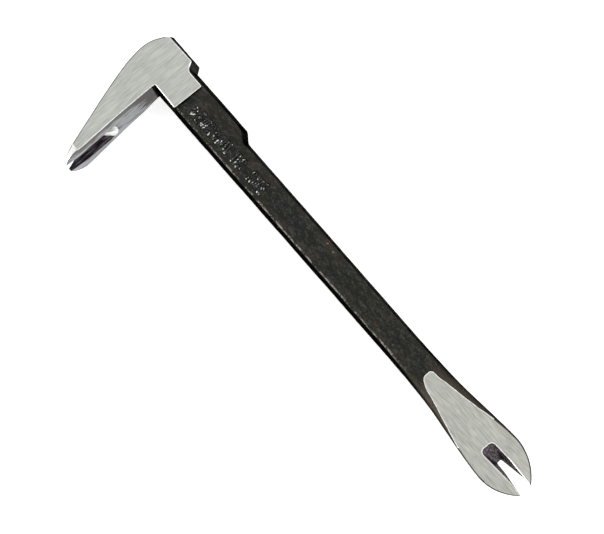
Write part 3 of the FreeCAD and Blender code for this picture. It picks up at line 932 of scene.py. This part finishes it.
def skin_colour(m, broad, scale):
    """Near black, lighter on the high spots, browner on the tail's flanks, and painted darkest on the sides
    as shade.
    """
    flank = m.ramp(m.along(0), 178.0, 196.0, 0.0, 0.16)
    patches = m.ramp(m.math("ADD", broad, flank), 0.52, 0.70)
    skin = m.mix(patches, (0.020, 0.022, 0.019), (0.040, 0.033, 0.026))
    off_middle = m.ramp(m.math("ABSOLUTE", m.along(1)), 1.5, 6.0, 0.0, 0.45)
    skin = m.mix(off_middle, skin, (0.036, 0.031, 0.025))
    skin = m.mix(m.ramp(scale, 0.45, 0.66), skin, (0.066, 0.066, 0.058))
    towards_tail = m.ramp(m.along(0), 186.0, 194.0, 0.0, 0.75)
    brown = m.math("MULTIPLY", towards_tail, m.ramp(scale, 0.30, 0.60, 0.5, 1.0))
    skin = m.mix(brown, skin, (0.078, 0.066, 0.053))
    # Painted shade: faces turned sideways, along y, are darkened to near black, less so towards the tail.
    side = m.ramp(m.math("ABSOLUTE", m.facing(1)), 0.40, 0.92)
    side = m.math("MULTIPLY", side, m.ramp(m.along(0), 198.0, 184.0, 0.45, 1.0))
    return m.mix(side, skin, (0.008, 0.008, 0.0075))


def bare_and_highlight_share(m, broad, middle, scale):
    """How bare the steel is on a few high spots, and where a painted highlight lies along the lower edge, on
    the side facing the low lamp, stronger at the nicks in it.
    """
    high_spots = m.ramp(m.math("ADD", scale, m.math("MULTIPLY", broad, 0.25)), 0.79, 0.84)
    # Painted highlight: the rounded lower edge, where it faces the low lamp on the -y side, is lightened in
    # colour; it is broken into patches, fades out before the tail and is stronger at the nicks.
    lower_edge = m.math("MULTIPLY", m.ramp(m.facing(1), -0.10, -0.26), m.ramp(m.facing(2), 0.70, 0.84))
    patchy = m.ramp(m.math("ADD", scale, m.math("MULTIPLY", broad, 0.5)), 0.72, 0.84)
    # worn here is that painted highlight, not wear.
    worn = m.math("MULTIPLY", lower_edge, patchy)
    worn = m.math("MULTIPLY", worn, m.ramp(m.along(0), 180.0, 168.0, 0.0, 0.7))
    nicked = m.ramp(m.math("ABSOLUTE", m.math("SUBTRACT", m.along(0), NICKS_AT)), 4.0, 1.5)
    nicks = m.math("MULTIPLY", nicked, m.math("MULTIPLY", lower_edge, m.ramp(middle, 0.50, 0.54)))
    return m.math("MAXIMUM", m.math("MAXIMUM", high_spots, worn), nicks)


def black_material():
    """The forged skin: near black, finely pitted, brown towards the tail and rubbed on a few high spots, with
    painted shade on its sides and a painted highlight along its lower edge.
    """
    m = Nodes("black_forging")
    broad = m.noise(7.0, 3.0, 0.6, (1.8, 1, 1), 6.0)
    middle = m.noise(1.3, 3.0, 0.65, (2.2, 1, 1), 7.0)
    fine = m.noise(0.6, 2.0, 0.6, (1.2, 1, 1), 9.0)
    scale = m.math("ADD", m.math("MULTIPLY", middle, 0.5), m.math("MULTIPLY", fine, 0.5))
    m.set(Base_Color=m.mix(bare_and_highlight_share(m, broad, middle, scale), skin_colour(m, broad, scale), BARE_STEEL_AND_HIGHLIGHT),
          Roughness=m.ramp(scale, 0.3, 0.7, 0.32, 0.50), Normal=m.bump(scale, 0.36))
    m.shader.inputs["Metallic"].default_value = 1.0
    m.shader.inputs["Specular Tint"].default_value = (0.12, 0.12, 0.12, 1)
    return m.material


def mark_material():
    """The tops of the mark's signs: the same skin, glossy, with near white spots of painted highlight, more
    of them towards the lower side.
    """
    m = Nodes("mark_painted_glints")
    grain = m.noise(0.8, 3.0, 0.6, (1, 1, 1), 14.0)
    # Painted highlight: near white spots, biased towards the -y side, which faces the low lamp.
    glints = m.math("ADD", grain, m.ramp(m.along(1), 1.2, -2.4, 0.0, 0.07))
    m.set(Base_Color=m.mix(m.ramp(glints, 0.63, 0.68), (0.046, 0.048, 0.044), (0.88, 0.90, 0.89)),
          Roughness=m.ramp(grain, 0.3, 0.7, 0.20, 0.34), Normal=m.bump(grain, 0.08))
    m.shader.inputs["Metallic"].default_value = 1.0
    m.shader.inputs["Specular Tint"].default_value = (0.4, 0.4, 0.4, 1)
    return m.material


def mark_foot_material():
    """The skin round the feet of the signs: painted near black as the signs' shadow."""
    m = Nodes("mark_painted_shadow")
    grain = m.noise(0.8, 3.0, 0.6, (1, 1, 1), 15.0)
    m.set(Base_Color=m.mix(m.ramp(grain, 0.4, 0.6), (0.005, 0.005, 0.005), (0.012, 0.012, 0.011)),
          Roughness=m.ramp(grain, 0.3, 0.7, 0.5, 0.65))
    m.shader.inputs["Metallic"].default_value = 1.0
    m.shader.inputs["Specular Tint"].default_value = (0.05, 0.05, 0.05, 1)
    return m.material


def floor_material():
    """A plain pale floor with some glow, which keeps the shadow light."""
    m = Nodes("pale_floor")
    m.set(Base_Color=m.mix(m.noise(60.0, 2.0), (0.90, 0.90, 0.90), (0.92, 0.92, 0.92)), Roughness=0.8)
    m.shader.inputs["Specular IOR Level"].default_value = 0.1
    m.shader.inputs["Emission Color"].default_value = (1, 1, 1, 1)
    m.shader.inputs["Emission Strength"].default_value = 0.5
    return m.material


# ---------------------------------------------------------------- the studio

VIEW = Vector((0.375, -0.06, 0.925)).normalized()  # from the bar to the camera
BAR_SLANT = math.radians(48.784)  # how the bar lies in the frame, down from level
ACROSS_FRAME = 0.24005  # the frame's width at the bar, in metres
CAMERA_DISTANCE = 8.0
SENSOR = 36
CENTRE = ORIGIN + Vector((115.48, -9.18, 0)) * MM  # what the middle of the frame shows


def aim(item, place, target):
    """Puts a lamp at a place, facing a target."""
    item.location = place
    item.rotation_euler = (Vector(place) - Vector(target)).to_track_quat("Z", "Y").to_euler()


def add_camera(target):
    """Looks along VIEW from far away, rolled so that the bar runs from upper left to lower right."""
    along = Vector((1, 0, 0))
    along = (along - along.dot(VIEW) * VIEW).normalized()
    down = along.cross(VIEW)
    right = math.cos(BAR_SLANT) * along - math.sin(BAR_SLANT) * down
    up = -math.sin(BAR_SLANT) * along - math.cos(BAR_SLANT) * down
    data = bpy.data.cameras.new("camera")
    data.sensor_width = SENSOR
    data.lens = SENSOR * CAMERA_DISTANCE / ACROSS_FRAME
    data.clip_end = 2 * CAMERA_DISTANCE
    camera = bpy.data.objects.new("camera", data)
    turn = Matrix((right, up, VIEW)).transposed().to_4x4()
    camera.matrix_world = Matrix.Translation(target + VIEW * CAMERA_DISTANCE) @ turn
    bpy.context.scene.collection.objects.link(camera)
    bpy.context.scene.camera = camera


def add_area(name, place, target, width, height, power):
    """A soft rectangular lamp; sizes are in metres and power in watts."""
    data = bpy.data.lights.new(name, "AREA")
    data.shape = "RECTANGLE"
    data.size, data.size_y, data.energy = width, height, power
    light = bpy.data.objects.new(name, data)
    aim(light, place, target)
    bpy.context.scene.collection.objects.link(light)


def add_floor():
    """A floor far wider than the frame."""
    bm = bmesh.new()
    bmesh.ops.create_grid(bm, x_segments=8, y_segments=8, size=3.0)
    floor = new_object("floor", bm, [floor_material()])


def add_world(strength):
    """An even white surrounding light."""
    world = bpy.data.worlds.new("studio")
    world.use_nodes = True
    world.node_tree.nodes["Background"].inputs["Color"].default_value = (1, 1, 1, 1)
    world.node_tree.nodes["Background"].inputs["Strength"].default_value = strength
    bpy.context.scene.world = world


# ---------------------------------------------------------------- everything together

def ground_flat(mesh):
    """Ground faces are flat, skins are smooth, and edges between materials or at sharp angles are crisp."""
    bm = bmesh.new()
    bm.from_mesh(mesh)
    for face in bm.faces:
        face.smooth = face.material_index not in (HEAD_GROUND, TAIL_GROUND)
    for edge in bm.edges:
        kinds = {face.material_index for face in edge.link_faces}
        edge.smooth = len(kinds) == 1 and edge.calc_face_angle(0) < math.radians(40)
    bm.to_mesh(mesh)
    bm.free()


def build():
    """The whole forging, cut into the CAD's zones, and the mark on it."""
    materials = [black_material(),
                 ground_material("ground_steel_head", (1, 22, 1), (0.50, 0.51, 0.475), 0.19),
                 ground_material("ground_steel_tail", (22, 1, 1), (0.465, 0.47, 0.43), 0.24),
                 polished_material(),
                 slot_material(),
                 # The rims and the claw's corners carry a painted highlight.
                 painted_highlight_material("painted_highlight_rim", (0.66, 0.67, 0.64)),
                 painted_highlight_material("painted_highlight_corner", (0.84, 0.84, 0.82))]
    forging = make_head(materials)
    combine(forging, make_bar(materials), "UNION")
    break_all_edges(forging)
    for node in ZONES:
        piece = cut_zone(forging, node, materials)
        ground_flat(piece.data)
        finish_piece(piece, node)
    bpy.data.objects.remove(forging)
    mark = make_mark([mark_material(), mark_foot_material()])
    mark.name = "forging_mark_raised"
    finish_piece(mark, "forging_mark")


bpy.context.scene.view_settings.view_transform = "Standard"
build()
add_floor()
add_world(1.0)
add_area("key", CENTRE + Vector((0.9, 0.9, 1.3)), CENTRE, 0.9, 0.9, 5)
add_area("low", CENTRE + Vector((-0.5, -1.15, 0.16)), CENTRE, 1.3, 0.26, 6)
add_camera(CENTRE)
